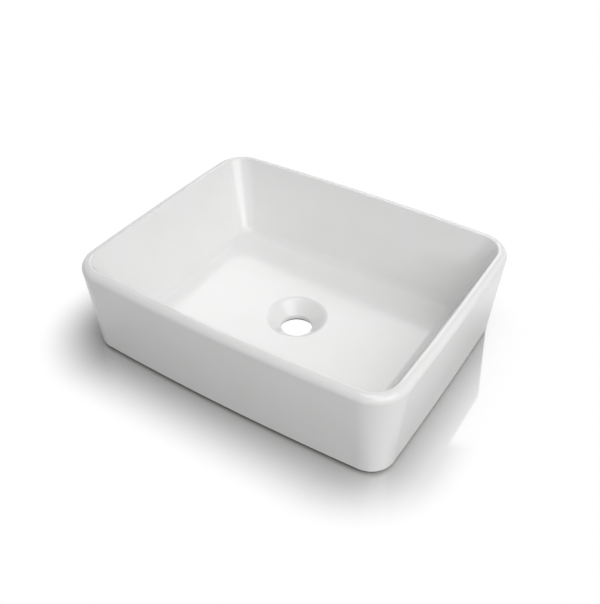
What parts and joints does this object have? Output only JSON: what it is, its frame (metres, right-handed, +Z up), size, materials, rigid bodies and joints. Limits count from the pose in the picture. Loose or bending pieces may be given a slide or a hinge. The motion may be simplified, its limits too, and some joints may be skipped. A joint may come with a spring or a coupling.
{
  "type": "countertop basin",
  "caption": "Rectangular countertop wash basin in white glazed china with rounded corners, sloping bowl walls, a dished open waste hole and a rubber seal under its foot.",
  "frame": {"origin": "centre of the footprint, on the counter surface under the seal", "axes": "+Z up out of the bowl, +X along the basin's length, -Y towards the user"},
  "size_m": [0.4826, 0.384, 0.139],
  "materials": {
    "glazed_china": "gloss white glaze",
    "seal_rubber": "matt black closed-cell strip"
  },
  "bodies": {
    "root": {"basin_body": "glazed_china", "base_seal": "seal_rubber"}
  },
  "joints": []
}
